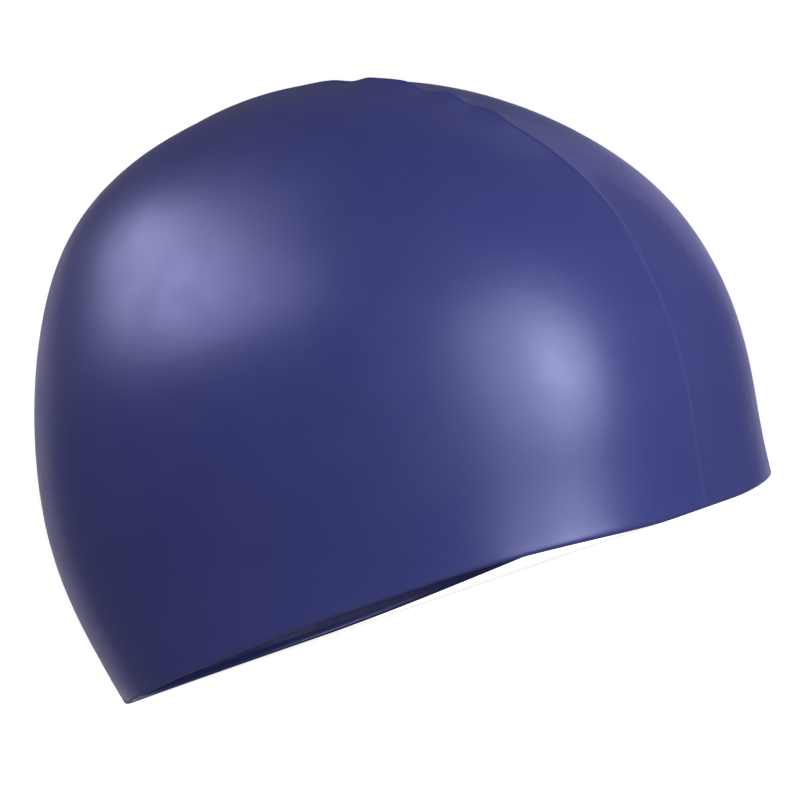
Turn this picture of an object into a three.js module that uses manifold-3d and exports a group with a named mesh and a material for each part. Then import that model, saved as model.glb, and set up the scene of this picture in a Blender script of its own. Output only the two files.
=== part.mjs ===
// Swim cap: one thin moulding of silicone, drawn at the form it has on a head and standing on its rim.
// Millimetres, +Z up, forehead towards -Y, origin on the floor under the middle of the cap.
import * as THREE from 'three';
import { mergeVertices } from 'three/addons/utils/BufferGeometryUtils.js';
import Module from 'manifold-3d';

// Driving dimensions
const capLength = 200;
const capWidth = 158;
const capHeight = 142;
const wallThickness = 0.7;
const rimThickness = 2;
const rimHeight = 2.6;
const earArch = 4.6;
const ridgeWidth = 1.2;
const ridgeHeight = 0.5;

// How much narrower the temples are than the back of the head, as a share of the half width
const templeTaper = 0.08;
// How much of the forehead's squarish corners the nape has
const napeFullness = 0.15;

// Level sections from the rim up to the crown, one row each.
// height is a share of capHeight. centre, towards the forehead, and length are shares of half the length,
// width is a share of half the width, and fullness pushes the four corners of the section outwards.
const sections = [
  { height: 0, centre: -0.002, length: 0.912, width: 1, fullness: 0.09 },
  { height: 0.175, centre: -0.009, length: 0.981, width: 0.995, fullness: 0.09 },
  { height: 0.358, centre: 0, length: 1, width: 1, fullness: 0.08 },
  { height: 0.561, centre: 0.001, length: 0.942, width: 0.925, fullness: 0.07 },
  { height: 0.74, centre: -0.037, length: 0.815, width: 0.747, fullness: 0.06 },
  { height: 0.88, centre: -0.087, length: 0.615, width: 0.544, fullness: 0.04 },
  { height: 0.97, centre: -0.115, length: 0.336, width: 0.296, fullness: 0.01 },
  { height: 1, centre: -0.116, length: 0, width: 0, fullness: 0 },
];

// Azimuths, in degrees from the forehead, between which the rim leaves the floor, is highest and comes down
const arch = { leaves: 10, full: 60, falls: 75, lands: 150 };

// The rim's section, from the outer face under the edge to its inner shoulder: flush outside, thick inside.
// across is a share of rimThickness from the outer face, up is a share of rimHeight.
const rimProfile = [
  { across: 0, up: 0.3 },
  { across: 0.2, up: 0 },
  { across: 0.8, up: 0 },
  { across: 1, up: 0.3 },
  { across: 1, up: 0.7 },
];

// Fineness of the mesh
const columns = 60;
const rings = 18;
const halvings = 30;
const joinTolerance = 0.01;

// How far along a meridian the crown is
const crownShare = 0.5;
const azimuthStep = (2 * Math.PI) / columns;

// One point of a level section, seen from above as a rounded egg
function sectionPoint(row, azimuth) {
  const forward = Math.cos(azimuth);
  const share = (1 + forward) / 2 + (napeFullness * (1 - forward)) / 2;
  const corner = 1 + row.fullness * share * Math.sin(2 * azimuth) ** 2;
  const x = (capWidth / 2) * row.width * Math.sin(azimuth) * corner * (1 - templeTaper * forward);
  const y = -(capLength / 2) * (row.centre + row.length * forward * corner);
  return new THREE.Vector3(x, y, capHeight * row.height);
}

// The curve that climbs from the rim at this azimuth, passes the crown half way and goes down the other side
function meridian(azimuth) {
  const rising = sections.map((row) => sectionPoint(row, azimuth));
  const falling = sections.map((row) => sectionPoint(row, azimuth + Math.PI));
  return new THREE.CatmullRomCurve3([...rising, ...falling.reverse().slice(1)]);
}

// How high the rim stands off the floor at this azimuth
function rimLift(azimuth) {
  const degrees = Math.abs(THREE.MathUtils.radToDeg(Math.atan2(Math.sin(azimuth), Math.cos(azimuth))));
  const rise = THREE.MathUtils.smoothstep(degrees, arch.leaves, arch.full);
  const fall = THREE.MathUtils.smoothstep(degrees, arch.falls, arch.lands);
  return earArch * rise * (1 - fall);
}

// Where along a meridian the given height is reached
function reach(curve, height) {
  let below = 0;
  let above = crownShare;
  for (let turn = 0; turn < halvings; turn += 1) {
    const middle = (below + above) / 2;
    if (curve.getPoint(middle).z < height) {
      below = middle;
    } else {
      above = middle;
    }
  }
  return below;
}

// The level direction that points out of the wall at the rim
function levelOutward(azimuth) {
  const before = sectionPoint(sections[0], azimuth - azimuthStep / 2);
  const after = sectionPoint(sections[0], azimuth + azimuthStep / 2);
  return after.sub(before).cross(new THREE.Vector3(0, 0, 1)).normalize();
}

// The direction that points out of the wall anywhere on it
function outward(azimuth, along) {
  const turn = azimuthStep / 4;
  const climb = 0.5 / (rings * sections.length);
  const around = meridian(azimuth + turn).getPoint(along).sub(meridian(azimuth - turn).getPoint(along));
  const below = Math.max(0, along - climb);
  const upwards = meridian(azimuth).getPoint(along + climb).sub(meridian(azimuth).getPoint(below));
  return upwards.cross(around).normalize().negate();
}

// One column of the wall: the outer face from the crown down, round the rim, and the inner face back up
function column(azimuth) {
  const curve = meridian(azimuth);
  const lift = rimLift(azimuth);
  const start = reach(curve, lift + rimHeight);
  const outer = [];
  const inner = [];
  for (let ring = rings - 1; ring >= 0; ring -= 1) {
    const along = start + ((crownShare - start) * ring) / rings;
    const point = curve.getPoint(along);
    outer.push(point);
    inner.unshift(point.clone().addScaledVector(outward(azimuth, along), -wallThickness));
  }
  const level = levelOutward(azimuth);
  const edge = rimProfile.map(({ across, up }) => {
    const height = lift + up * rimHeight;
    const point = curve.getPoint(reach(curve, height)).setZ(height);
    return point.addScaledVector(level, -across * rimThickness);
  });
  return [...outer, ...edge, ...inner];
}

// The wall as one closed mesh: the columns side by side, closed at the crown inside and out
function wallGeometry() {
  const indices = [];
  const strips = Array.from({ length: columns }, (_, index) => column(index * azimuthStep));
  const deep = strips[0].length;
  const top = meridian(0).getPoint(crownShare);
  const underTop = top.clone().setZ(top.z - wallThickness);
  const positions = [...strips.flat(), top, underTop].flatMap((point) => point.toArray());
  const outerCrown = columns * deep;
  const innerCrown = outerCrown + 1;
  for (let index = 0; index < columns; index += 1) {
    const here = index * deep;
    const next = ((index + 1) % columns) * deep;
    indices.push(outerCrown, here, next);
    for (let step = 0; step < deep - 1; step += 1) {
      indices.push(here + step, here + step + 1, next + step + 1);
      indices.push(here + step, next + step + 1, next + step);
    }
    indices.push(innerCrown, next + deep - 1, here + deep - 1);
  }
  const geometry = new THREE.BufferGeometry();
  geometry.setAttribute('position', new THREE.Float32BufferAttribute(positions, 3));
  geometry.setIndex(indices);
  return geometry;
}

// The mid-line ridge: a flat band that follows the wall over the crown, sunk half way into it
function ridgeGeometry() {
  const line = [];
  for (const azimuth of [0, Math.PI]) {
    const curve = meridian(azimuth);
    const start = reach(curve, rimHeight / 2);
    const side = [];
    for (let ring = 0; ring < 2 * rings; ring += 1) {
      const along = start + ((crownShare - start) * ring) / (2 * rings);
      side.push({ point: curve.getPoint(along), normal: outward(azimuth, along) });
    }
    if (azimuth === 0) {
      line.push(...side, { point: curve.getPoint(crownShare), normal: new THREE.Vector3(0, 0, 1) });
    } else {
      line.push(...side.reverse());
    }
  }
  const offset = (distance) =>
    line.map(({ point, normal }) => point.clone().addScaledVector(normal, distance));
  const outline = [...offset(ridgeHeight), ...offset(-wallThickness / 2).reverse()];
  const shape = new THREE.Shape(outline.map(({ y, z }) => new THREE.Vector2(y, z)));
  const band = new THREE.ExtrudeGeometry(shape, { depth: ridgeWidth, bevelEnabled: false });
  const upright = new THREE.Matrix4().makeBasis(
    new THREE.Vector3(0, 1, 0),
    new THREE.Vector3(0, 0, 1),
    new THREE.Vector3(1, 0, 0),
  );
  return band.applyMatrix4(upright).translate(-ridgeWidth / 2, 0, 0);
}

const wasm = await Module();
wasm.setup();

// A closed mesh as a solid that can be joined and cut
function solid(geometry) {
  const bare = geometry.clone();
  bare.deleteAttribute('normal');
  bare.deleteAttribute('uv');
  const merged = mergeVertices(bare, 1e-5);
  const vertProperties = new Float32Array(merged.attributes.position.array);
  const triVerts = new Uint32Array(merged.index.array);
  return new wasm.Manifold(new wasm.Mesh({ numProp: 3, vertProperties, triVerts }));
}

// The joined solid as a mesh again, standing on the floor with its middle over the origin
function standing(joined) {
  const { vertProperties, triVerts } = joined.getMesh();
  const geometry = new THREE.BufferGeometry();
  geometry.setAttribute('position', new THREE.BufferAttribute(new Float32Array(vertProperties), 3));
  geometry.setIndex(new THREE.BufferAttribute(new Uint32Array(triVerts), 1));
  geometry.computeBoundingBox();
  const { min, max } = geometry.boundingBox;
  geometry.translate(-(min.x + max.x) / 2, -(min.y + max.y) / 2, -min.z);
  geometry.computeVertexNormals();
  return geometry;
}

const silicone = new THREE.MeshStandardMaterial({ color: 0x2f3470, roughness: 0.42, metalness: 0 });

const moulding = solid(wallGeometry()).add(solid(ridgeGeometry())).simplify(joinTolerance);
const swimCap = new THREE.Mesh(standing(moulding), silicone);
swimCap.name = 'swim_cap';

const group = new THREE.Group();
group.add(swimCap);

export default group;
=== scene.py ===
"""A silicone swim cap at the form it has on a head, standing on its rim in a plain pale studio."""

import math

import bmesh
import bpy
import numpy as np
from mathutils import Matrix, Vector


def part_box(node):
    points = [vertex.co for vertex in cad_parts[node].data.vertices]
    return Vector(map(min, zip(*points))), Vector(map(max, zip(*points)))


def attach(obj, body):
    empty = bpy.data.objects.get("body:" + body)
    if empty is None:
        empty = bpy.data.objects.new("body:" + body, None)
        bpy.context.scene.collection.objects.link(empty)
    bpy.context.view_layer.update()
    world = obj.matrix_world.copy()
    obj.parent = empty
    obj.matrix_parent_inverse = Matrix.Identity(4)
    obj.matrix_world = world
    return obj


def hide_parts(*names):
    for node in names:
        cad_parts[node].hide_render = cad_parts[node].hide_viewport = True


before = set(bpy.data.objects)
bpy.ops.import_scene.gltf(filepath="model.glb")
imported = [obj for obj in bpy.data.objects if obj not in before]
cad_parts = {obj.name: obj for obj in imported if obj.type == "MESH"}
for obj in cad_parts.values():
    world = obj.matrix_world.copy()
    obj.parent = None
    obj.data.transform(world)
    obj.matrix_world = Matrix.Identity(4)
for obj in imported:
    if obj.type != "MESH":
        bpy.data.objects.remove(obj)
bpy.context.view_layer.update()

bl_info = {
    "name": "Swim Cap Studio",
    "version": (1, 0, 0),
    "blender": (4, 5, 0),
    "location": "View3D > Sidebar > Swim Cap",
    "description": "Moulds a silicone swim cap round its solid and sets up a plain studio for it",
    "category": "Object",
}

NODE = "swim_cap"
MM = 0.001
LOW_CORNER, HIGH_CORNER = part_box(NODE)
MIDDLE = (LOW_CORNER + HIGH_CORNER) / 2

# Level sections of the dome from the rim up to the crown, one row each: the height as a share of the
# cap's height, the centre, towards the forehead, and the length as shares of half the length, and the
# width as a share of half the width.
SECTIONS = (
    {"height": 0.0, "centre": -0.007, "length": 0.907, "width": 1.0},
    {"height": 0.175, "centre": -0.009, "length": 0.981, "width": 0.995},
    {"height": 0.358, "centre": 0.0, "length": 1.0, "width": 1.0},
    {"height": 0.561, "centre": 0.001, "length": 0.942, "width": 0.925},
    {"height": 0.74, "centre": -0.037, "length": 0.815, "width": 0.747},
    {"height": 0.88, "centre": -0.087, "length": 0.615, "width": 0.544},
    {"height": 0.97, "centre": -0.115, "length": 0.336, "width": 0.296},
    {"height": 1.0, "centre": -0.116, "length": 0.0, "width": 0.0},
)
CROWN_ROW = len(SECTIONS) - 1

# The solid's ridge, which its box takes in, and how far its corners pass the sections' half width
SOLID_RIDGE = 0.5 * MM
WIDEST = 1.0084

# Squarish corners of the forehead and the nape, and how much narrower the temples are than the back
FOREHEAD_FULLNESS = 0.09
NAPE_FULLNESS = 0.014
TEMPLE_TAPER = 0.084

# Azimuths from the forehead between which the rim leaves the floor, is highest and comes down again
ARCH = {"leaves": 10, "full": 60, "falls": 75, "lands": 150}

# Length of the dome's wall from the crown down to the rim
WALL_RUN = 174 * MM

# Fineness: samples along the wall for finding a height, squares across the crown's grid, and the step on
# the flat pattern that directions are measured with
HEIGHT_SAMPLES = 400
GRID_STEPS = 164
PATTERN_STEP = 1e-4

# Heights above the rim's edge, in millimetres, of the rings between the rim and the crown's grid
RIM_RINGS = (40, 36, 32, 28, 24.3, 20.9, 17.8, 15, 12.5, 10.2, 8.2, 6.5, 5.1, 4, 3.1, 2.4, 1.9, 0)

# The rim's faces: how far up the wall its directions turn from level to free, how many rim heights up the
# wall is thin again, and the faces across each rounded edge
RIM_LEVEL = 4 * MM
RIM_BLEND = 3
RIM_SEGMENTS = 5

# Cuts beside the mid-line and across it that give the ridge and its puckers enough faces. A cut goes
# through the faces whose middles are within its depth, and the cuts across reach this far to each side.
RIDGE_CUTS = 6
RIDGE_CUT_STEP = 0.3 * MM
PUCKER_CUT_STEP = 0.8 * MM
PUCKER_REACH = 6 * MM
CUT_DEPTH = 4 * MM
CUT_TOLERANCE = 1e-6

# The ridge fades between these distances from the crown, to this share of its height on the forehead
RIDGE_FADE = (95 * MM, 125 * MM)
RIDGE_LOW = 0.45

# The keel: the wall is drawn out to a low crease along the mid-line. Distances run from the crown,
# forwards to the forehead, and the crease fades over its two ends.
KEEL = {"height": 0.45 * MM, "back": -80 * MM, "front": 125 * MM, "fade": 42 * MM}

# How far from the mid-line the crease is drawn out, on the side that stands proud and on the other
KEEL_REACH = {"right": 12 * MM, "left": 6.5 * MM}

# Puckers of the wall along the keel: peaks and dips by their distance from the crown to the forehead
PUCKERS = (
    {"along": 14 * MM, "rise": 0.0 * MM},
    {"along": 23 * MM, "rise": 0.5 * MM},
    {"along": 27.5 * MM, "rise": 0.1 * MM},
    {"along": 32.5 * MM, "rise": 1.3 * MM},
    {"along": 40 * MM, "rise": 1.5 * MM},
    {"along": 46 * MM, "rise": 0.0 * MM},
    {"along": 51.5 * MM, "rise": 1.3 * MM},
    {"along": 57 * MM, "rise": 0.2 * MM},
    {"along": 62.5 * MM, "rise": 1.1 * MM},
    {"along": 68 * MM, "rise": 0.1 * MM},
    {"along": 74 * MM, "rise": 0.0 * MM},
)

# Where the rim is rubbed, in heights up the wall, and how wide the lighter line painted along the parting
# line is, a painted highlight of the low ridge on the forehead
RIM_WEAR = (1 * MM, 5 * MM)
PARTING_HIGHLIGHT_WIDTH = 1.5 * MM

# Finishes: how much each mask adds to the colour's mix and to the roughness, the depths of the bumps, and
# the strength and tint of the highlights
SATIN = {
    # The parting mark lightens the colour along the forehead's mid-line: a painted highlight of the low
    # ridge.
    "colour": {"haze": 0.035, "specks": 0.05, "rim": 0.06, "parting_highlight": 0.07},
    "roughness": {"haze": 0.04, "handling": 0.03, "specks": 0.05, "rim": -0.06},
    "swell_depth": 0.035 * MM,
    "skin_depth": 0.01 * MM,
    "specular": 0.7,
    "tint": (0.66, 0.7, 1.0),
}
POWDERED = {
    "colour": {"drifts": 0.3, "specks": 0.5},
    "roughness": {"drifts": 0.1, "specks": 0.15},
    "skin_depth": 0.02 * MM,
    "specular": 0.35,
}
FLOOR = {"roughness": {"mottle": 0.05}, "smoothest": 0.85, "mottle_shade": 0.985, "segments": 128}

# Shares of a group's scale: its pebbles and the drifts of its powder. Powder shows between these sums.
PEBBLE_SCALE = 0.45
DRIFT_SCALE = 0.06
POWDER_SHOWS = (0.62, 0.92)

# The image's side in pixels, the sensor's width in millimetres, and the point in the cap's middle that
# the lamps face and the camera is placed by
IMAGE_SIDE = 800
SENSOR_WIDTH = 36
CAMERA_TARGET = Vector((0, 3.92 * MM, 70 * MM))

# Soft lamps that face the cap: direction in degrees, size in metres, power in watts, and colour
LAMP_DISTANCE = 1.2
LAMPS = (
    {"name": "front_softbox", "azimuth": -30, "elevation": 6, "width": 0.95, "height": 0.95,
     "power": 11.6, "colour": (1, 1, 1)},
    {"name": "key_softbox", "azimuth": -7, "elevation": -1, "width": 0.7, "height": 0.58,
     "power": 11.6, "colour": (0.95, 0.95, 1)},
    {"name": "back_softbox", "azimuth": -146, "elevation": 49, "width": 0.9, "height": 0.3,
     "power": 8.5, "colour": (0.76, 0.74, 1)},
    {"name": "high_side_softbox", "azimuth": 85, "elevation": 26, "width": 0.5, "height": 0.9,
     "power": 1.0, "colour": (0.68, 0.64, 1)},
    {"name": "low_side_softbox", "azimuth": 106, "elevation": 0, "width": 0.65, "height": 0.7,
     "power": 1.3, "colour": (0.62, 0.58, 1)},
    {"name": "edge_softbox", "azimuth": 150, "elevation": 2, "width": 0.8, "height": 0.8,
     "power": 1.1, "colour": (0.85, 0.76, 1)},
)

# How strongly the white surroundings light the cap, while the camera sees them white
SURROUNDINGS_LIGHT = 0.16


class CapSettings(bpy.types.PropertyGroup):
    """Sizes and finish of the cap."""

    wall: bpy.props.FloatProperty(
        name="Wall", description="Thickness of the silicone", default=0.7 * MM, unit="LENGTH"
    )
    rim: bpy.props.FloatProperty(
        name="Rim", description="Thickness of the rim", default=2 * MM, unit="LENGTH"
    )
    rim_height: bpy.props.FloatProperty(
        name="Rim height",
        description="Height of the thick part of the rim",
        default=2.6 * MM,
        unit="LENGTH",
    )
    rim_round: bpy.props.FloatProperty(
        name="Rim round", description="Radius of the rim's edges", default=0.95 * MM, unit="LENGTH"
    )
    ear_arch: bpy.props.FloatProperty(
        name="Ear arch",
        description="How high the rim arches over the ears",
        default=4.6 * MM,
        unit="LENGTH",
    )
    flare: bpy.props.FloatProperty(
        name="Forehead flare",
        description="How far the forehead's rim turns out",
        default=1.5 * MM,
        unit="LENGTH",
    )
    flare_height: bpy.props.FloatProperty(
        name="Flare height",
        description="Height at which the flare starts",
        default=20 * MM,
        unit="LENGTH",
    )
    ridge_width: bpy.props.FloatProperty(
        name="Ridge width", description="Width of the mid-line ridge", default=2.2 * MM, unit="LENGTH"
    )
    ridge_height: bpy.props.FloatProperty(
        name="Ridge height",
        description="Height of the mid-line ridge",
        default=0.22 * MM,
        unit="LENGTH",
    )
    colour: bpy.props.FloatVectorProperty(
        name="Colour",
        description="Colour of the silicone",
        default=(0.022, 0.026, 0.12),
        subtype="COLOR",
    )
    haze_colour: bpy.props.FloatVectorProperty(
        name="Haze colour",
        description="Colour of the haze and of the powder",
        default=(0.09, 0.09, 0.2),
        subtype="COLOR",
    )
    roughness: bpy.props.FloatProperty(
        name="Roughness",
        description="Roughness of the satin surface",
        default=0.36,
        subtype="FACTOR",
    )
    inside_roughness: bpy.props.FloatProperty(
        name="Inside roughness",
        description="Roughness of the inside",
        default=0.55,
        subtype="FACTOR",
    )


class StudioSettings(bpy.types.PropertyGroup):
    """Camera and light of the studio."""

    azimuth: bpy.props.FloatProperty(
        name="Azimuth",
        description="Where the camera stands, from the forehead round the cap",
        default=math.radians(-51.52),
        unit="ROTATION",
    )
    elevation: bpy.props.FloatProperty(
        name="Elevation",
        description="How far up the camera stands, seen from the cap's middle",
        default=math.radians(-1),
        unit="ROTATION",
    )
    roll: bpy.props.FloatProperty(
        name="Roll",
        description="How far the camera leans",
        default=math.radians(18.95),
        unit="ROTATION",
    )
    distance: bpy.props.FloatProperty(
        name="Distance",
        description="Distance from the camera to the cap",
        default=3.0,
        unit="LENGTH",
    )
    scale: bpy.props.FloatProperty(
        name="Scale", description="Pixels for each metre at the cap", default=3741.8
    )
    target_x: bpy.props.FloatProperty(
        name="Target across", description="Pixel column of the cap's middle", default=350.26
    )
    target_y: bpy.props.FloatProperty(
        name="Target down", description="Pixel row of the cap's middle", default=351.28
    )
    floor_radius: bpy.props.FloatProperty(
        name="Floor", description="Radius of the floor", default=12.0, unit="LENGTH"
    )
    floor_colour: bpy.props.FloatVectorProperty(
        name="Floor colour",
        description="Colour of the floor",
        default=(0.8, 0.8, 0.8),
        subtype="COLOR",
    )
    floor_glow: bpy.props.FloatProperty(
        name="Floor glow", description="How brightly the lit table shows", default=0.92
    )


def smooth_step(value, start, end):
    """0 before start, 1 after end, and a smooth rise between them."""
    share = np.clip((value - start) / (end - start), 0, 1)
    return share * share * (3 - 2 * share)


def wave(along, peaks):
    """A line that swings smoothly between peaks and dips, each with its place and its rise."""
    value = np.full(len(along), peaks[0]["rise"])
    for before, after in zip(peaks, peaks[1:]):
        part = smooth_step(along, before["along"], after["along"])
        value = value + (after["rise"] - before["rise"]) * part
    return value


def smooth_curve(name, mirror):
    """A natural cubic spline through one column of the sections, mirrored across the crown."""
    rising = [row[name] for row in SECTIONS]
    knots = np.array(rising + [mirror * value for value in rising[-2::-1]])
    count = len(knots)
    system = np.eye(count)
    turns = np.zeros(count)
    for row in range(1, count - 1):
        system[row, row - 1 : row + 2] = (1, 4, 1)
        turns[row] = 6 * (knots[row - 1] - 2 * knots[row] + knots[row + 1])
    bends = np.linalg.solve(system, turns)

    def value(place):
        row = np.clip(np.floor(place).astype(int), 0, count - 2)
        part = place - row
        rest = 1 - part
        line = rest * knots[row] + part * knots[row + 1]
        return line + ((rest**3 - rest) * bends[row] + (part**3 - part) * bends[row + 1]) / 6

    return value


HEIGHT_CURVE = smooth_curve("height", 1)
CENTRE_CURVE = smooth_curve("centre", 1)
LENGTH_CURVE = smooth_curve("length", -1)
WIDTH_CURVE = smooth_curve("width", -1)


def up_the_wall(flat):
    """How far points of the flat pattern are up the wall from the rim's edge."""
    return WALL_RUN * (1 - np.hypot(flat[:, 0], flat[:, 1]))


class Dome:
    """The outer face of the cap as a function of a flat, round pattern of it.

    The pattern's centre is the crown and its edge, at radius 1, is the rim. Its -Y is the forehead.
    """

    def __init__(self, settings):
        self.settings = settings
        size = HIGH_CORNER - LOW_CORNER
        self.half_width = size.x / 2 / WIDEST
        self.half_length = size.y / 2 - SOLID_RIDGE
        self.height = size.z - SOLID_RIDGE

    def lift(self, azimuth):
        """How high the rim stands off the floor."""
        degrees = np.degrees(np.abs(azimuth))
        rise = smooth_step(degrees, ARCH["leaves"], ARCH["full"])
        fall = smooth_step(degrees, ARCH["falls"], ARCH["lands"])
        return self.settings.ear_arch * rise * (1 - fall)

    def base(self, flat):
        """Points of the smooth dome, with no ridge, flare or puckers."""
        azimuth = np.arctan2(flat[:, 0], -flat[:, 1])
        radius = np.hypot(flat[:, 0], flat[:, 1])
        rows = np.linspace(0, 1, HEIGHT_SAMPLES)
        start = np.interp(self.lift(azimuth) / self.height, HEIGHT_CURVE(rows), rows)
        place = start + (CROWN_ROW - start) * (1 - radius)
        forward = np.cos(azimuth)
        share = (1 + forward) / 2
        fullness = FOREHEAD_FULLNESS * share + NAPE_FULLNESS * (1 - share)
        corner = 1 + fullness * (1 - (place / CROWN_ROW) ** 2) * np.sin(2 * azimuth) ** 2
        x = self.half_width * WIDTH_CURVE(place) * np.sin(azimuth) * corner * (1 - TEMPLE_TAPER * forward)
        y = -self.half_length * (CENTRE_CURVE(place) + LENGTH_CURVE(place) * forward * corner)
        return np.stack((x, y, self.height * HEIGHT_CURVE(place)), axis=1)

    def normals(self, flat):
        """Directions out of the wall, level at the rim so that the inner edge stays on the floor."""
        sideways, lengthways = (PATTERN_STEP, 0, 0), (0, PATTERN_STEP, 0)
        across = self.base(flat + sideways) - self.base(flat - sideways)
        along = self.base(flat + lengthways) - self.base(flat - lengthways)
        normals = np.cross(across, along)
        normals[:, 2] *= smooth_step(up_the_wall(flat), 0, RIM_LEVEL)
        return normals / np.linalg.norm(normals, axis=1)[:, None]

    def relief(self, flat, base):
        """How far the flare, the keel and its puckers push the wall outwards."""
        azimuth = np.arctan2(flat[:, 0], -flat[:, 1])
        low = np.clip(1 - up_the_wall(flat) / self.settings.flare_height, 0, 1)
        flare = self.settings.flare * low**2 * (0.5 + 0.5 * np.cos(azimuth))
        along = -flat[:, 1] * WALL_RUN
        front = smooth_step(along, KEEL["front"], KEEL["front"] - KEEL["fade"])
        back = smooth_step(along, KEEL["back"], KEEL["back"] + KEEL["fade"])
        crest = KEEL["height"] * front * back + wave(along, PUCKERS)
        reach = np.where(base[:, 0] < 0, KEEL_REACH["right"], KEEL_REACH["left"])
        side = np.clip(1 - np.abs(base[:, 0]) / reach, 0, 1)
        return flare + crest * side**2

    def ridge(self, flat, base):
        """How high the mid-line ridge stands on the wall: it fades down the forehead."""
        half = self.settings.ridge_width / 2
        near = np.clip(np.abs(base[:, 0]) / half, 0, 1)
        fade = 1 - (1 - RIDGE_LOW) * smooth_step(-flat[:, 1] * WALL_RUN, *RIDGE_FADE)
        return self.settings.ridge_height * fade * (0.5 + 0.5 * np.cos(math.pi * near))

    def outer(self, flat):
        """Points of the outer face."""
        base = self.base(flat)
        out = self.relief(flat, base) + self.ridge(flat, base)
        return base + self.normals(flat) * out[:, None]

    def inner(self, flat):
        """Points of the inner face, thicker at the rim."""
        base = self.base(flat)
        rim_height = self.settings.rim_height
        thin = smooth_step(up_the_wall(flat), rim_height, RIM_BLEND * rim_height)
        wall = self.settings.rim + (self.settings.wall - self.settings.rim) * thin
        return base + self.normals(flat) * (self.relief(flat, base) - wall)[:, None]


def read_flat(verts, layer):
    """The pattern's coordinates of these vertices, as an array."""
    return np.array([vert[layer] for vert in verts])


def move_to(verts, points):
    """Moves each vertex to its point."""
    for vert, point in zip(verts, points):
        vert.co = point


def border(bm):
    """The edges that have a face on one side only."""
    return [edge for edge in bm.edges if edge.is_boundary]


def flat_pattern():
    """A round, flat sheet of quads: a square grid rounded to a disc, with rings extruded round it."""
    bm = bmesh.new()
    bmesh.ops.create_grid(bm, x_segments=GRID_STEPS, y_segments=GRID_STEPS, size=1)
    radius = 1 - RIM_RINGS[0] * MM / WALL_RUN
    for vert in bm.verts:
        x, y, _ = vert.co
        vert.co = Vector((x * math.sqrt(1 - y * y / 2), y * math.sqrt(1 - x * x / 2), 0)) * radius
    for height in RIM_RINGS[1:]:
        wider = 1 - height * MM / WALL_RUN
        ring = bmesh.ops.extrude_edge_only(bm, edges=border(bm))["geom"]
        verts = [item for item in ring if isinstance(item, bmesh.types.BMVert)]
        bmesh.ops.scale(bm, vec=(wider / radius, wider / radius, 1), verts=verts)
        radius = wider
    return bm


def cut_near(bm, where, normal, is_near):
    """Cuts the faces that are near, along the plane through this point."""
    near = [face for face in bm.faces if is_near(face.calc_center_median())]
    edges = {edge for face in near for edge in face.edges}
    verts = {vert for face in near for vert in face.verts}
    geom = [*near, *edges, *verts]
    bmesh.ops.bisect_plane(bm, geom=geom, dist=CUT_TOLERANCE, plane_co=where, plane_no=normal)


def cut_mid_line(bm, layer):
    """Adds edges along the mid-line, and across it where the wall puckers."""
    for cut in range(-RIDGE_CUTS, RIDGE_CUTS + 1):
        side = cut * RIDGE_CUT_STEP
        cut_near(bm, (side, 0, 0), (1, 0, 0), lambda point: abs(point.x - side) < CUT_DEPTH)
    crown = min(bm.verts, key=lambda vert: vert[layer].length)
    first, last = PUCKERS[0]["along"], PUCKERS[-1]["along"]
    front = [
        vert.co.y
        for vert in bm.verts
        if abs(vert.co.x) < MM and first < -vert[layer].y * WALL_RUN < last
    ]
    for cut in range(math.ceil((max(front) - min(front)) / PUCKER_CUT_STEP)):
        along = min(front) + cut * PUCKER_CUT_STEP

        def is_near(point):
            is_high = point.z > crown.co.z / 2
            return is_high and abs(point.x) < PUCKER_REACH and abs(point.y - along) < CUT_DEPTH

        cut_near(bm, (0, along, 0), (0, 1, 0), is_near)


def mould_mesh(settings):
    """The closed mesh of the cap."""
    dome = Dome(settings)
    bm = flat_pattern()
    layer = bm.verts.layers.float_vector.new("pattern")
    for vert in bm.verts:
        vert[layer] = vert.co
    move_to(bm.verts, dome.base(read_flat(bm.verts, layer)))
    cut_mid_line(bm, layer)
    outer_verts = list(bm.verts)
    outer_rim = border(bm)
    copied = bmesh.ops.duplicate(bm, geom=[*bm.verts, *bm.edges, *bm.faces])["geom"]
    inner_verts = [item for item in copied if isinstance(item, bmesh.types.BMVert)]
    inner_faces = [item for item in copied if isinstance(item, bmesh.types.BMFace)]
    bmesh.ops.reverse_faces(bm, faces=inner_faces)
    inner_edges = [item for item in copied if isinstance(item, bmesh.types.BMEdge)]
    rims = outer_rim + [edge for edge in inner_edges if edge.is_boundary]
    move_to(outer_verts, dome.outer(read_flat(outer_verts, layer)))
    move_to(inner_verts, dome.inner(read_flat(inner_verts, layer)))
    bmesh.ops.bridge_loops(bm, edges=rims)
    bmesh.ops.bevel(
        bm,
        geom=rims,
        offset=settings.rim_round,
        segments=RIM_SEGMENTS,
        affect="EDGES",
        profile=0.5,
        material=-1,
    )
    low = Vector([min(vert.co[axis] for vert in bm.verts) for axis in range(3)])
    high = Vector([max(vert.co[axis] for vert in bm.verts) for axis in range(3)])
    middle = (low + high) / 2
    move = Vector((MIDDLE.x - middle.x, MIDDLE.y - middle.y, LOW_CORNER.z - low.z))
    bmesh.ops.translate(bm, verts=bm.verts, vec=move)
    mark_wear_and_highlight(bm, layer, inner_faces)
    mesh = bpy.data.meshes.new("swim_cap_moulding")
    for face in bm.faces:
        face.smooth = True
    bm.to_mesh(mesh)
    bm.free()
    return mesh


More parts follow.
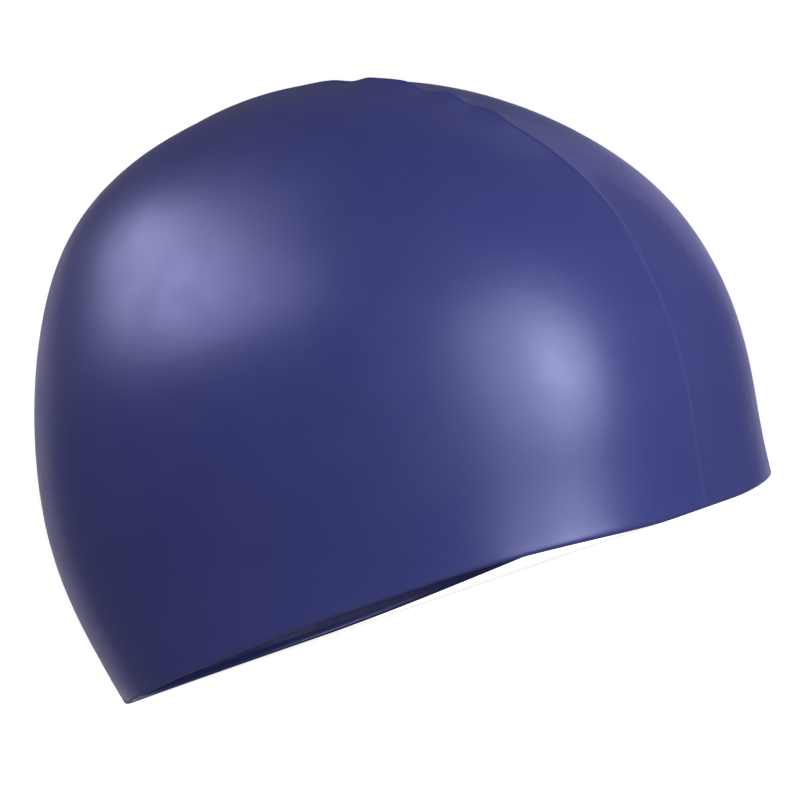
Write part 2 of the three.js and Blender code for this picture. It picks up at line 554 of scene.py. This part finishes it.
def mark_wear_and_highlight(bm, layer, inner_faces):
    """Stores where the rim is rubbed and where a highlight is painted along the forehead's parting line,
    for the materials, and gives the inside its own.
    """
    rim = bm.verts.layers.float.new("rim")
    parting_highlight = bm.verts.layers.float.new("parting_highlight")
    verts = list(bm.verts)
    flat = read_flat(verts, layer)
    low = 1 - smooth_step(up_the_wall(flat), *RIM_WEAR)
    # Along the forehead's mid-line, where the ridge is low, a lighter line is painted: a painted highlight
    # of the ridge.
    side = smooth_step(np.abs(np.array([vert.co.x for vert in verts])), PARTING_HIGHLIGHT_WIDTH, 0)
    front = smooth_step(-flat[:, 1] * WALL_RUN, *RIDGE_FADE)
    for vert, rim_share, parting_highlight_share in zip(verts, low, side * front):
        vert[rim] = rim_share
        vert[parting_highlight] = parting_highlight_share
    for face in inner_faces:
        if face.is_valid:
            face.material_index = 1


def new_group(name, inputs, output):
    """An empty shader node group with these number inputs, a Vector input and one number output."""
    group = bpy.data.node_groups.new(name, "ShaderNodeTree")
    group.interface.new_socket(name="Vector", in_out="INPUT", socket_type="NodeSocketVector")
    for socket, value in inputs.items():
        item = group.interface.new_socket(name=socket, in_out="INPUT", socket_type="NodeSocketFloat")
        item.default_value = value
    group.interface.new_socket(name=output, in_out="OUTPUT", socket_type="NodeSocketFloat")
    source = group.nodes.new("NodeGroupInput")
    result = group.nodes.new("NodeGroupOutput")
    return group, source, result


def feed(tree, socket, value):
    """Gives an input a number, or links another node's output to it."""
    if isinstance(value, (int, float)):
        socket.default_value = value
    else:
        tree.links.new(value, socket)


def math_node(tree, operation, first, second):
    """A Math node fed by two sockets or numbers; returns its output."""
    node = tree.nodes.new("ShaderNodeMath")
    node.operation = operation
    feed(tree, node.inputs[0], first)
    feed(tree, node.inputs[1], second)
    return node.outputs[0]


def noise_node(tree, vector, scale, detail, roughness):
    """A Noise Texture read at this vector; returns its height."""
    node = tree.nodes.new("ShaderNodeTexNoise")
    node.inputs["Detail"].default_value = detail
    node.inputs["Roughness"].default_value = roughness
    feed(tree, node.inputs["Vector"], vector)
    feed(tree, node.inputs["Scale"], scale)
    return node.outputs["Fac"]


def skin_group():
    """Group: the fine pebbled skin that a blasted mould leaves on rubber."""
    group, source, result = new_group("Moulded Skin", {"Scale": 1600, "Pebbles": 0.5}, "Height")
    vector, scale = source.outputs["Vector"], source.outputs["Scale"]
    fine = noise_node(group, vector, scale, detail=2, roughness=0.5)
    cells = group.nodes.new("ShaderNodeTexVoronoi")
    group.links.new(vector, cells.inputs["Vector"])
    group.links.new(math_node(group, "MULTIPLY", scale, PEBBLE_SCALE), cells.inputs["Scale"])
    pebble = math_node(group, "MULTIPLY", cells.outputs["Distance"], source.outputs["Pebbles"])
    group.links.new(math_node(group, "SUBTRACT", fine, pebble), result.inputs["Height"])
    return group


def cloud_group():
    """Group: soft patches, such as a haze left by handling and drying."""
    group, source, result = new_group("Soft Patches", {"Scale": 30, "From": 0.4, "To": 0.7}, "Mask")
    vector, scale = source.outputs["Vector"], source.outputs["Scale"]
    cloud = noise_node(group, vector, scale, detail=3, roughness=0.55)
    edge = group.nodes.new("ShaderNodeMapRange")
    edge.interpolation_type = "SMOOTHSTEP"
    group.links.new(cloud, edge.inputs["Value"])
    group.links.new(source.outputs["From"], edge.inputs["From Min"])
    group.links.new(source.outputs["To"], edge.inputs["From Max"])
    group.links.new(edge.outputs["Result"], result.inputs["Mask"])
    return group


def dust_group():
    """Group: fine specks of powder, thicker in some places than in others."""
    group, source, result = new_group("Powder Specks", {"Scale": 900, "Amount": 0.5}, "Mask")
    vector, scale = source.outputs["Vector"], source.outputs["Scale"]
    specks = noise_node(group, vector, scale, detail=2, roughness=0.7)
    drift_scale = math_node(group, "MULTIPLY", scale, DRIFT_SCALE)
    drift = noise_node(group, vector, drift_scale, detail=1, roughness=0.5)
    drifts = math_node(group, "MULTIPLY", drift, source.outputs["Amount"])
    edge = group.nodes.new("ShaderNodeMapRange")
    edge.inputs["From Min"].default_value = POWDER_SHOWS[0]
    edge.inputs["From Max"].default_value = POWDER_SHOWS[1]
    group.links.new(math_node(group, "ADD", specks, drifts), edge.inputs["Value"])
    group.links.new(edge.outputs["Result"], result.inputs["Mask"])
    return group


def shared_groups():
    """The node groups that the materials share, built once."""
    made = {group.name: group for group in bpy.data.node_groups}
    skin = made.get("Moulded Skin") or skin_group()
    clouds = made.get("Soft Patches") or cloud_group()
    dust = made.get("Powder Specks") or dust_group()
    return skin, clouds, dust


class MaterialMaker:
    """One node material on Object coordinates, with short calls for its nodes."""

    def __init__(self, name):
        self.material = bpy.data.materials.new(name)
        self.material.use_nodes = True
        self.tree = self.material.node_tree
        self.shader = self.tree.nodes["Principled BSDF"]
        self.coordinates = self.tree.nodes.new("ShaderNodeTexCoord")

    def group(self, group, **values):
        """Places a node group on the piece's Object coordinates; returns its output."""
        node = self.tree.nodes.new("ShaderNodeGroup")
        node.node_tree = group
        self.tree.links.new(self.coordinates.outputs["Object"], node.inputs["Vector"])
        for socket, value in values.items():
            node.inputs[socket].default_value = value
        return node.outputs[0]

    def attribute(self, name):
        """The value stored on the mesh under this name."""
        node = self.tree.nodes.new("ShaderNodeAttribute")
        node.attribute_name = name
        return node.outputs["Fac"]

    def weighted(self, masks, weights, base=0.0):
        """The sum of the named masks, each times its weight, on top of a base."""
        total = 0.0
        for name, weight in weights.items():
            mask = math_node(self.tree, "MULTIPLY", masks[name], weight)
            total = math_node(self.tree, "ADD", mask, total)
        return math_node(self.tree, "ADD", total, base) if base else total

    def colour(self, first, second, factor):
        """Two colours mixed by a mask, fed to Base Color."""
        node = self.tree.nodes.new("ShaderNodeMix")
        node.data_type = "RGBA"
        node.inputs["A"].default_value = (*first, 1)
        node.inputs["B"].default_value = (*second, 1)
        self.tree.links.new(factor, node.inputs["Factor"])
        self.tree.links.new(node.outputs["Result"], self.shader.inputs["Base Color"])

    def roughness(self, value):
        """Feeds Roughness."""
        self.tree.links.new(value, self.shader.inputs["Roughness"])

    def bumps(self, *layers):
        """Bump nodes in a chain, each with a height and its depth in metres, fed to Normal."""
        before = None
        for height, depth in layers:
            bump = self.tree.nodes.new("ShaderNodeBump")
            bump.inputs["Distance"].default_value = depth
            self.tree.links.new(height, bump.inputs["Height"])
            if before:
                self.tree.links.new(before.outputs["Normal"], bump.inputs["Normal"])
            before = bump
        self.tree.links.new(before.outputs["Normal"], self.shader.inputs["Normal"])


def satin_outside(settings, skin, clouds, dust):
    """Satin navy silicone: a fine moulded skin, a faint haze, a rubbed rim, and a painted highlight along
    the forehead's parting line.
    """
    maker = MaterialMaker("satin_silicone")
    masks = {
        "haze": maker.group(clouds, Scale=24, From=0.42, To=0.72),
        "handling": maker.group(clouds, Scale=110, From=0.35, To=0.7),
        "specks": maker.group(dust, Scale=1100, Amount=0.25),
        "rim": maker.attribute("rim"),
        # The parting mark is a painted highlight: a lighter line down the forehead's mid-line.
        "parting_highlight": maker.attribute("parting_highlight"),
    }
    maker.colour(settings.colour, settings.haze_colour, maker.weighted(masks, SATIN["colour"]))
    maker.roughness(maker.weighted(masks, SATIN["roughness"], settings.roughness))
    swell = maker.group(clouds, Scale=62, From=0.2, To=0.8)
    grain = maker.group(skin, Scale=1500, Pebbles=0.5)
    maker.bumps((swell, SATIN["swell_depth"]), (grain, SATIN["skin_depth"]))
    maker.shader.inputs["Specular IOR Level"].default_value = SATIN["specular"]
    maker.shader.inputs["Specular Tint"].default_value = (*SATIN["tint"], 1)
    return maker.material


def powdered_inside(settings, skin, clouds, dust):
    """The inside of the cap: matt, with the powder that keeps it from sticking."""
    maker = MaterialMaker("powdered_silicone")
    masks = {
        "drifts": maker.group(clouds, Scale=40, From=0.3, To=0.75),
        "specks": maker.group(dust, Scale=700, Amount=0.5),
    }
    maker.colour(settings.colour, settings.haze_colour, maker.weighted(masks, POWDERED["colour"]))
    maker.roughness(maker.weighted(masks, POWDERED["roughness"], settings.inside_roughness))
    maker.bumps((maker.group(skin, Scale=900, Pebbles=0.7), POWDERED["skin_depth"]))
    maker.shader.inputs["Specular IOR Level"].default_value = POWDERED["specular"]
    return maker.material


def pale_floor(settings, clouds):
    """Pale matt table: a faint mottle, and a glow that the camera alone sees, so it shows nearly white."""
    maker = MaterialMaker("pale_floor")
    masks = {"mottle": maker.group(clouds, Scale=3, From=0.3, To=0.7)}
    darker = [FLOOR["mottle_shade"] * value for value in settings.floor_colour]
    maker.colour(settings.floor_colour, darker, masks["mottle"])
    maker.roughness(maker.weighted(masks, FLOOR["roughness"], FLOOR["smoothest"]))
    maker.shader.inputs["Specular IOR Level"].default_value = 0.0
    maker.shader.inputs["Emission Color"].default_value = (1, 1, 1, 1)
    path = maker.tree.nodes.new("ShaderNodeLightPath")
    glow = math_node(maker.tree, "MULTIPLY", path.outputs["Is Camera Ray"], settings.floor_glow)
    maker.tree.links.new(glow, maker.shader.inputs["Emission Strength"])
    return maker.material


class SWIMCAP_OT_mould(bpy.types.Operator):
    """Mould the cap round its solid and give it its satin finish"""

    bl_idname = "swim_cap.mould"
    bl_label = "Mould the Cap"

    def execute(self, context):
        settings = context.scene.swim_cap
        cap = bpy.data.objects.new("silicone_cap", mould_mesh(settings))
        context.scene.collection.objects.link(cap)
        skin, clouds, dust = shared_groups()
        cap.data.materials.append(satin_outside(settings, skin, clouds, dust))
        cap.data.materials.append(powdered_inside(settings, skin, clouds, dust))
        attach(cap, "root")
        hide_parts(NODE)
        return {"FINISHED"}


def direction(azimuth, elevation):
    """The direction at this azimuth from the forehead and this height above the level."""
    return Vector((
        math.sin(azimuth) * math.cos(elevation),
        -math.cos(azimuth) * math.cos(elevation),
        math.sin(elevation),
    ))


def add_camera(context, settings):
    """The camera, at the photograph's angle to the cap."""
    towards = direction(settings.azimuth, settings.elevation)
    level = Vector((math.cos(settings.azimuth), math.sin(settings.azimuth), 0))
    upright = towards.cross(level)
    right = math.cos(settings.roll) * level - math.sin(settings.roll) * upright
    up = math.sin(settings.roll) * level + math.cos(settings.roll) * upright
    place = CAMERA_TARGET + towards * settings.distance
    across = IMAGE_SIDE / 2 - settings.target_x
    down = settings.target_y - IMAGE_SIDE / 2
    aim = CAMERA_TARGET + (right * across + up * down) / settings.scale
    back = (place - aim).normalized()
    right = up.cross(back).normalized()
    up = back.cross(right)
    camera = bpy.data.cameras.new("studio_camera")
    camera.sensor_width = SENSOR_WIDTH
    camera.lens = settings.scale * settings.distance * SENSOR_WIDTH / IMAGE_SIDE
    camera_object = bpy.data.objects.new("studio_camera", camera)
    turn = Matrix((right, up, back)).transposed().to_4x4()
    camera_object.matrix_world = Matrix.Translation(place) @ turn
    context.scene.collection.objects.link(camera_object)
    context.scene.camera = camera_object


def add_lamp(context, row):
    """One soft rectangular lamp that faces the cap from its direction."""
    lamp = bpy.data.lights.new(row["name"], "AREA")
    lamp.shape = "RECTANGLE"
    lamp.size = row["width"]
    lamp.size_y = row["height"]
    lamp.energy = row["power"]
    lamp.color = row["colour"]
    lamp.cycles.use_multiple_importance_sampling = False
    towards = direction(math.radians(row["azimuth"]), math.radians(row["elevation"]))
    lamp_object = bpy.data.objects.new(row["name"], lamp)
    turn = towards.to_track_quat("Z", "Y").to_matrix().to_4x4()
    lamp_object.matrix_world = Matrix.Translation(CAMERA_TARGET + towards * LAMP_DISTANCE) @ turn
    context.scene.collection.objects.link(lamp_object)


def white_surroundings():
    """Surroundings that look white, but light the cap only faintly."""
    world = bpy.data.worlds.new("studio")
    world.use_nodes = True
    nodes = world.node_tree.nodes
    links = world.node_tree.links
    background = nodes["Background"]
    background.inputs["Color"].default_value = (1, 1, 1, 1)
    path = nodes.new("ShaderNodeLightPath")
    strength = nodes.new("ShaderNodeMapRange")
    strength.inputs["To Min"].default_value = SURROUNDINGS_LIGHT
    strength.inputs["To Max"].default_value = 1.0
    links.new(path.outputs["Is Camera Ray"], strength.inputs["Value"])
    links.new(strength.outputs["Result"], background.inputs["Strength"])
    return world


class SWIMCAP_OT_stage(bpy.types.Operator):
    """Set up the pale floor, the soft lamps and the camera"""

    bl_idname = "swim_cap.stage"
    bl_label = "Set the Studio"

    def execute(self, context):
        settings = context.scene.swim_cap_studio
        bm = bmesh.new()
        radius = settings.floor_radius
        bmesh.ops.create_circle(bm, cap_ends=True, segments=FLOOR["segments"], radius=radius)
        mesh = bpy.data.meshes.new("studio_floor")
        bm.to_mesh(mesh)
        bm.free()
        floor = bpy.data.objects.new("studio_floor", mesh)
        floor.visible_shadow = False
        floor.visible_glossy = False
        context.scene.collection.objects.link(floor)
        _, clouds, _ = shared_groups()
        floor.data.materials.append(pale_floor(settings, clouds))
        context.scene.world = white_surroundings()
        context.scene.view_settings.view_transform = "Standard"
        for lamp in LAMPS:
            add_lamp(context, lamp)
        add_camera(context, settings)
        return {"FINISHED"}


class SWIMCAP_PT_panel(bpy.types.Panel):
    """Lists the steps that make the cap and its studio"""

    bl_label = "Swim Cap"
    bl_idname = "SWIMCAP_PT_panel"
    bl_space_type = "VIEW_3D"
    bl_region_type = "UI"
    bl_category = "Swim Cap"

    def draw(self, context):
        """One button for each step, in order."""
        self.layout.operator(SWIMCAP_OT_mould.bl_idname)
        self.layout.operator(SWIMCAP_OT_stage.bl_idname)


CLASSES = (CapSettings, StudioSettings, SWIMCAP_OT_mould, SWIMCAP_OT_stage, SWIMCAP_PT_panel)


def register():
    """Registers the classes and their settings."""
    for item in CLASSES:
        bpy.utils.register_class(item)
    bpy.types.Scene.swim_cap = bpy.props.PointerProperty(type=CapSettings)
    bpy.types.Scene.swim_cap_studio = bpy.props.PointerProperty(type=StudioSettings)


def unregister():
    """Takes the settings and the classes out again."""
    del bpy.types.Scene.swim_cap_studio
    del bpy.types.Scene.swim_cap
    for item in reversed(CLASSES):
        bpy.utils.unregister_class(item)


def main():
    """Registers the classes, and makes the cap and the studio."""
    register()
    bpy.ops.swim_cap.mould()
    bpy.ops.swim_cap.stage()


if __name__ == "__main__":
    main()
